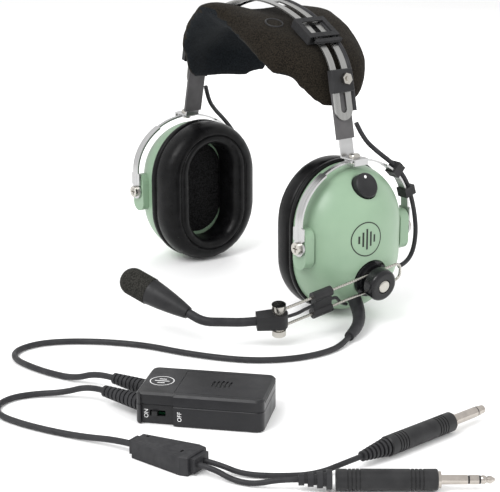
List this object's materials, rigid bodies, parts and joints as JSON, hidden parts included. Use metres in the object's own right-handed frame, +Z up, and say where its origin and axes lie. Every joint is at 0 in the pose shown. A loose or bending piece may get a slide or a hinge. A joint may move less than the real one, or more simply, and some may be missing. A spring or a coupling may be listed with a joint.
{
  "type": "aviation headset",
  "caption": "Aviation headset with padded headband, sealed ear cups, swinging boom microphone, inline battery module and twin plugs.",
  "frame": {"origin": "point on the supporting surface midway between the centres of the two ear cups", "axes": "+X to the wearer's left (boom side), +Y to the wearer's back, +Z up"},
  "size_m": [0.5081, 0.3617, 0.2192],
  "materials": {
    "dome": "satin",
    "seal": "soft satin",
    "liner": "open foam",
    "speaker": "matte",
    "chrome": "polished",
    "stirrup": "satin plated",
    "sleeve": "matte",
    "band": "brushed",
    "pad": "fleece",
    "black_plastic": "matte",
    "gloss_black": "gloss",
    "case": "fine texture",
    "rubber": "matte",
    "foam": "open foam",
    "control": "satin",
    "battery": "satin",
    "board": "satin",
    "contact": "nickel plated"
  },
  "bodies": {
    "left_cup": {"left_dome": "dome", "left_ear_seal": "seal", "left_liner": "liner", "left_speaker": "speaker", "left_pivot_screws": "chrome", "boom_screw": "chrome", "volume_control": "control", "strain_relief": "rubber", "main_cord": "rubber", "module_cord": "rubber", "headphone_cord": "rubber", "mic_cord": "rubber", "module_bottom": "case", "module_top": "case", "batteries": "battery", "module_board": "board", "module_boots": "rubber", "y_junction": "rubber", "plug_boots": "rubber", "headphone_plug_barrel": "black_plastic", "mic_plug_barrel": "black_plastic", "headphone_plug_contacts": "contact", "mic_plug_contacts": "contact", "plug_insulators": "black_plastic"},
    "volume_knob": {"volume_knob": "black_plastic"},
    "switch_slider": {"switch_slider": "black_plastic"},
    "battery_door": {"battery_door": "case"},
    "boom_base": {"boom_base": "gloss_black"},
    "clamp_knob": {"clamp_knob": "gloss_black", "clamp_washer": "gloss_black"},
    "boom_rods": {"boom_rods": "chrome", "rod_guide": "black_plastic", "mic_lead": "rubber"},
    "thumb_screw": {"thumb_screw": "chrome"},
    "mic_boom": {"boom_block": "black_plastic", "flex_boom": "rubber", "mic_housing": "black_plastic", "windscreen": "foam"},
    "left_stirrup": {"left_stirrup": "stirrup", "stirrup_cable_clips": "black_plastic", "left_stirrup_cable": "rubber"},
    "left_strap": {"left_strap": "stirrup", "left_strap_sleeve": "sleeve", "left_strap_screws": "chrome", "left_clamp_block": "black_plastic"},
    "headband": {"headband_spring": "band", "head_pad": "pad", "band_retainers": "black_plastic", "band_cable": "rubber"},
    "right_strap": {"right_strap": "stirrup", "right_strap_sleeve": "sleeve", "right_strap_screws": "chrome", "right_clamp_block": "black_plastic"},
    "right_stirrup": {"right_stirrup": "stirrup", "right_stirrup_cable": "rubber"},
    "right_cup": {"right_dome": "dome", "right_ear_seal": "seal", "right_liner": "liner", "right_speaker": "speaker", "right_pivot_screws": "chrome"}
  },
  "joints": [
    {"name": "volume_turn", "type": "hinge", "parent": "left_cup", "child": "volume_knob", "pos_m": [0.1145, -0.002, 0.0965], "axis": [0.891, 0, 0.454], "range_deg": [-150, 150]},
    {"name": "power_switch", "type": "slide", "parent": "left_cup", "child": "switch_slider", "axis": [0.7431, 0.6691, 0], "range_m": [0, 0.0035]},
    {"name": "battery_door_slide", "type": "slide", "parent": "left_cup", "child": "battery_door", "axis": [0.7431, 0.6691, 0], "range_m": [0, 0.018]},
    {"name": "boom_swing", "type": "hinge", "parent": "left_cup", "child": "boom_base", "pos_m": [0.1245, -0.002, 0.033], "axis": [0.9848, 0, -0.1736], "range_deg": [-60, 8]},
    {"name": "clamp_knob_turn", "type": "hinge", "parent": "left_cup", "child": "clamp_knob", "pos_m": [0.1245, -0.002, 0.033], "axis": [0.9848, 0, -0.1736], "range_deg": [-180, 180]},
    {"name": "boom_reach", "type": "slide", "parent": "boom_base", "child": "boom_rods", "axis": [-0.0257, -0.989, -0.1456], "range_m": [-0.012, 0.017], "deforming": ["mic_lead"]},
    {"name": "thumb_screw_turn", "type": "hinge", "parent": "boom_rods", "child": "thumb_screw", "pos_m": [0.12823, -0.08607, 0.01959], "axis": [0.1717, -0.1478, 0.974], "continuous": true},
    {"name": "elbow_turn", "type": "hinge", "parent": "boom_rods", "child": "mic_boom", "pos_m": [0.12823, -0.08607, 0.01959], "axis": [0.1717, -0.1478, 0.974], "range_deg": [-30, 60]},
    {"name": "left_stirrup_tilt", "type": "hinge", "parent": "left_cup", "child": "left_stirrup", "pos_m": [0.104, 0, 0.058], "axis": [0, 1, 0], "range_deg": [-6, 10], "deforming": ["left_stirrup_cable"]},
    {"name": "left_swivel", "type": "hinge", "parent": "left_stirrup", "child": "left_strap", "pos_m": [0.104, 0, 0.115], "axis": [0, 0, 1], "range_deg": [-20, 20]},
    {"name": "left_height", "type": "slide", "parent": "left_strap", "child": "headband", "axis": [-0.2079, 0, 0.9781], "range_m": [-0.002, 0.02]},
    {"name": "right_height", "type": "slide", "parent": "headband", "child": "right_strap", "axis": [-0.2079, 0, -0.9781], "range_m": [-0.002, 0.02]},
    {"name": "right_swivel", "type": "hinge", "parent": "right_strap", "child": "right_stirrup", "pos_m": [-0.104, 0, 0.115], "axis": [0, 0, 1], "range_deg": [-20, 20], "deforming": ["right_stirrup_cable"]},
    {"name": "right_stirrup_tilt", "type": "hinge", "parent": "right_stirrup", "child": "right_cup", "pos_m": [-0.104, 0, 0.058], "axis": [0, 1, 0], "range_deg": [-6, 10]}
  ]
}
